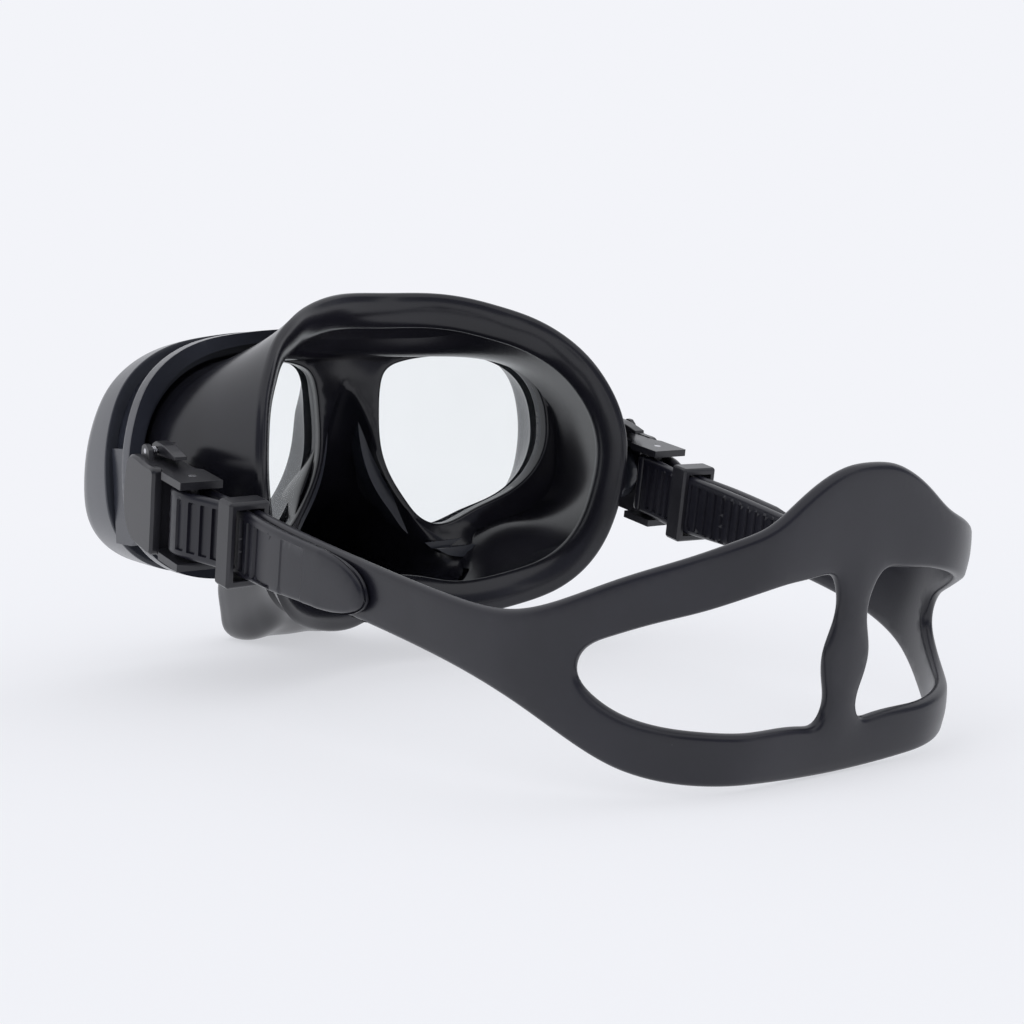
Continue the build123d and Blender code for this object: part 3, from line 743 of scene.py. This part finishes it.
def moulded(name, dark, light, rough_low, rough_high, grain, bump, specks=0.0, coat=0.0):
    """Moulded plastic or rubber: mottled colour, uneven gloss, fine grain and optional dust."""
    material, tree, shader = new_material(name)
    link = tree.links.new
    place = node(tree, "ShaderNodeTexCoord")
    mottle = node(tree, "ShaderNodeTexNoise", Scale=38.0, Detail=5.0, Roughness=0.6)
    link(place.outputs["Object"], mottle.inputs["Vector"])
    colour = node(tree, "ShaderNodeValToRGB")
    colour.color_ramp.elements[0].position = 0.35
    colour.color_ramp.elements[0].color = (*dark, 1)
    colour.color_ramp.elements[1].position = 0.7
    colour.color_ramp.elements[1].color = (*light, 1)
    link(mottle.outputs["Fac"], colour.inputs["Fac"])
    fine = node(tree, "ShaderNodeTexNoise", Scale=grain, Detail=3.0, Roughness=0.55)
    link(place.outputs["Object"], fine.inputs["Vector"])
    gloss = node(tree, "ShaderNodeMapRange")
    gloss.inputs["To Min"].default_value = rough_low
    gloss.inputs["To Max"].default_value = rough_high
    link(mottle.outputs["Fac"], gloss.inputs["Value"])
    link(gloss.outputs["Result"], shader.inputs["Roughness"])
    relief = node(tree, "ShaderNodeBump", Strength=bump, Distance=0.0002)
    link(fine.outputs["Fac"], relief.inputs["Height"])
    link(relief.outputs["Normal"], shader.inputs["Normal"])
    if specks:
        cells = node(tree, "ShaderNodeTexVoronoi", Scale=230.0, Randomness=1.0)
        link(place.outputs["Object"], cells.inputs["Vector"])
        dots = node(tree, "ShaderNodeValToRGB")
        dots.color_ramp.elements[0].position = 0.0
        dots.color_ramp.elements[0].color = (1, 1, 1, 1)
        dots.color_ramp.elements[1].position = 0.075
        dots.color_ramp.elements[1].color = (0, 0, 0, 1)
        link(cells.outputs["Distance"], dots.inputs["Fac"])
        few = node(tree, "ShaderNodeValToRGB")
        few.color_ramp.elements[0].position = 1 - specks
        few.color_ramp.elements[1].position = min(1.0, 1.02 - specks)
        link(cells.outputs["Color"], few.inputs["Fac"])
        both_on = node(tree, "ShaderNodeMath", operation="MULTIPLY")
        link(dots.outputs["Color"], both_on.inputs[0])
        link(few.outputs["Color"], both_on.inputs[1])
        mix = node(tree, "ShaderNodeMix", data_type="RGBA")
        link(both_on.outputs["Value"], mix.inputs["Factor"])
        link(colour.outputs["Color"], mix.inputs["A"])
        mix.inputs["B"].default_value = (0.45, 0.45, 0.46, 1)
        link(mix.outputs["Result"], shader.inputs["Base Color"])
    else:
        link(colour.outputs["Color"], shader.inputs["Base Color"])
    if coat:
        shader.inputs["Coat Weight"].default_value = coat
        shader.inputs["Coat Roughness"].default_value = 0.08
    return material


def metal(name, colour, rough):
    material, tree, shader = new_material(name)
    place = node(tree, "ShaderNodeTexCoord")
    streak = node(tree, "ShaderNodeTexNoise", Scale=900.0, Detail=2.0)
    tree.links.new(place.outputs["Object"], streak.inputs["Vector"])
    gloss = node(tree, "ShaderNodeMapRange")
    gloss.inputs["To Min"].default_value = rough * 0.7
    gloss.inputs["To Max"].default_value = rough * 1.3
    tree.links.new(streak.outputs["Fac"], gloss.inputs["Value"])
    tree.links.new(gloss.outputs["Result"], shader.inputs["Roughness"])
    shader.inputs["Base Color"].default_value = (*colour, 1)
    shader.inputs["Metallic"].default_value = 1.0
    return material


def lens_glass():
    """Clear glass: almost all of the light goes straight through, a little is reflected."""
    material, tree, shader = new_material("tempered_glass")
    link = tree.links.new
    place = node(tree, "ShaderNodeTexCoord")
    haze = node(tree, "ShaderNodeTexNoise", Scale=60.0, Detail=3.0)
    link(place.outputs["Object"], haze.inputs["Vector"])
    share = node(tree, "ShaderNodeMapRange")
    share.inputs["To Min"].default_value = 0.985
    share.inputs["To Max"].default_value = 0.955
    link(haze.outputs["Fac"], share.inputs["Value"])
    clear = node(tree, "ShaderNodeBsdfTransparent", Color=(0.985, 0.995, 0.99, 1))
    blend = node(tree, "ShaderNodeMixShader")
    link(share.outputs["Result"], blend.inputs["Fac"])
    link(shader.outputs["BSDF"], blend.inputs[1])
    link(clear.outputs["BSDF"], blend.inputs[2])
    link(blend.outputs["Shader"], tree.nodes["Material Output"].inputs["Surface"])
    shader.inputs["Base Color"].default_value = (0.8, 0.85, 0.85, 1)
    shader.inputs["Roughness"].default_value = 0.02
    return material


SILICONE = moulded("skirt_silicone", (0.007, 0.007, 0.010), (0.012, 0.012, 0.017), 0.17, 0.27, 900, 0.015)
STRAP_SILICONE = moulded("strap_silicone", (0.008, 0.008, 0.013), (0.013, 0.013, 0.020), 0.24, 0.36, 1200,
                         0.06, specks=0.16)
PLASTIC = moulded("satin_plastic", (0.012, 0.012, 0.015), (0.022, 0.022, 0.027), 0.24, 0.36, 1500, 0.12)
FRAME_PLASTIC = moulded("frame_plastic", (0.02, 0.022, 0.03), (0.03, 0.033, 0.045), 0.16, 0.28, 1500, 0.08)
BEZEL_PLASTIC = moulded("bezel_plastic", (0.03, 0.033, 0.042), (0.045, 0.048, 0.06), 0.18, 0.30, 1500, 0.08)
STEEL = metal("stainless_steel", (0.56, 0.56, 0.58), 0.25)
GLASS = lens_glass()


def paint(piece, material):
    piece.data.materials.clear()
    piece.data.materials.append(material)


# ------------------------------------------------------------------ carried-over CAD nodes
def soften(piece, width):
    """Round the moulded edges of a CAD node with modifiers, leaving its mesh as it is."""
    weld = piece.modifiers.new("weld", "WELD")
    weld.merge_threshold = 0.00002
    bevel = piece.modifiers.new("bevel", "BEVEL")
    bevel.width = width * MM
    bevel.segments = 3
    bevel.limit_method = "ANGLE"
    bevel.angle_limit = radians(32)
    bevel.harden_normals = True


SIDES = (("left", 1), ("right", -1))
FINISH = {"frame": (FRAME_PLASTIC, 0.5), "buckle": (PLASTIC, 0.35), "buckle_cover": (PLASTIC, 0.3),
          "keeper": (PLASTIC, 0.3), "release_lever": (PLASTIC, 0.3), "roller": (PLASTIC, 0.2),
          "swivel_pin": (STEEL, 0.15), "roller_pin": (STEEL, 0.1), "lever_pin": (STEEL, 0.1),
          "lever_spring": (STEEL, 0), "lens": (GLASS, 0.3)}
for base, (material, width) in FINISH.items():
    for name in [base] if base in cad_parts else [f"{base}_{s}" for s, _ in SIDES]:
        paint(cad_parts[name], material)
        if width:
            soften(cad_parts[name], width)

# ------------------------------------------------------------------ soft and detailed pieces
skirt = make_skirt()
paint(skirt, SILICONE)
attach(skirt, "mask")
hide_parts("skirt")

strap = make_main_strap()
for piece in [strap] + [make_tail(side, sign) for side, sign in SIDES]:
    paint(piece, STRAP_SILICONE)
    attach(piece, "strap_loop")
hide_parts("strap")

for side, sign in SIDES:
    bezel = make_bezel("moulded_bezel_" + side, sign)
    paint(bezel, BEZEL_PLASTIC)
    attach(bezel, "mask")
    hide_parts("bezel_" + side)

# ------------------------------------------------------------------ floor, light and camera
SKY = (0.896, 0.905, 0.947, 1)
FLOOR_REACH = 6.0
floor_mesh = bpy.data.meshes.new("floor")
floor_mesh.from_pydata([(-FLOOR_REACH, -FLOOR_REACH, 0), (FLOOR_REACH, -FLOOR_REACH, 0),
                        (FLOOR_REACH, FLOOR_REACH, 0), (-FLOOR_REACH, FLOOR_REACH, 0)], [], [(0, 1, 2, 3)])
floor = bpy.data.objects.new("floor", floor_mesh)
bpy.context.scene.collection.objects.link(floor)
floor_material, tree, shader = new_material("pale_floor")
place = node(tree, "ShaderNodeTexCoord")
distance = node(tree, "ShaderNodeVectorMath", operation="LENGTH")
tree.links.new(place.outputs["Object"], distance.inputs[0])
fade = node(tree, "ShaderNodeMapRange", interpolation_type="SMOOTHSTEP")
for key, value in (("From Min", 0.15), ("From Max", 0.7), ("To Min", 0.6), ("To Max", 1.0)):
    fade.inputs[key].default_value = value
tree.links.new(distance.outputs["Value"], fade.inputs["Value"])
glow = node(tree, "ShaderNodeEmission", Color=SKY)
blend = node(tree, "ShaderNodeMixShader")
tree.links.new(fade.outputs["Result"], blend.inputs["Fac"])
tree.links.new(shader.outputs["BSDF"], blend.inputs[1])
tree.links.new(glow.outputs["Emission"], blend.inputs[2])
tree.links.new(blend.outputs["Shader"], tree.nodes["Material Output"].inputs["Surface"])
shader.inputs["Base Color"].default_value = (0.97, 0.975, 0.985, 1)
shader.inputs["Roughness"].default_value = 0.95
shader.inputs["Specular IOR Level"].default_value = 0.0
paint(floor, floor_material)

world = bpy.data.worlds.new("studio")
world.use_nodes = True
world.node_tree.nodes["Background"].inputs["Color"].default_value = SKY
world.node_tree.nodes["Background"].inputs["Strength"].default_value = 1.0
bpy.context.scene.world = world
bpy.context.scene.view_settings.view_transform = "Standard"


def flag(name, place, target, size):
    """A dark studio flag, seen only in reflections."""
    mesh = bpy.data.meshes.new(name)
    w, h = size[0] / 2, size[1] / 2
    mesh.from_pydata([(-w, -h, 0), (w, -h, 0), (w, h, 0), (-w, h, 0)], [], [(0, 1, 2, 3)])
    card = bpy.data.objects.new(name, mesh)
    card.location = place
    card.rotation_euler = (Vector(target) - Vector(place)).to_track_quat("-Z", "Y").to_euler()
    bpy.context.scene.collection.objects.link(card)
    card.visible_camera = False
    card.visible_diffuse = False
    card.visible_shadow = False
    card.visible_transmission = False
    paint(card, FLAG_GREY)


FLAG_GREY, tree, shader = new_material("flag_grey")
shader.inputs["Base Color"].default_value = (0.01, 0.01, 0.012, 1)
shader.inputs["Roughness"].default_value = 0.9
shader.inputs["Specular IOR Level"].default_value = 0.0
shader.inputs["Emission Color"].default_value = (0.20, 0.21, 0.26, 1)
shader.inputs["Emission Strength"].default_value = 1.0
AIM = (0, 0, 0.06)
flag("flag_left", (1.5, 0.35, 0.75), AIM, (1.9, 1.2))
flag("flag_behind", (0.15, 1.7, 0.7), AIM, (2.2, 1.1))
flag("flag_right", (-1.5, 0.9, 0.7), AIM, (1.2, 1.1))

camera_data = bpy.data.cameras.new("camera")
camera_data.sensor_width = 36
camera_data.lens = 62.18
camera_data.clip_start = 0.01
camera = bpy.data.objects.new("camera", camera_data)
right, up, back = (-0.82358, 0.56662, -0.02556), (-0.07090, -0.05813, 0.99579), (0.56275, 0.82193, 0.08804)
spot = (0.297176, 0.444733, 0.101766)
camera.matrix_world = Matrix([(right[i], up[i], back[i], spot[i]) for i in range(3)] + [(0, 0, 0, 1)])
bpy.context.scene.collection.objects.link(camera)
bpy.context.scene.camera = camera

bpy.context.view_layer.update()
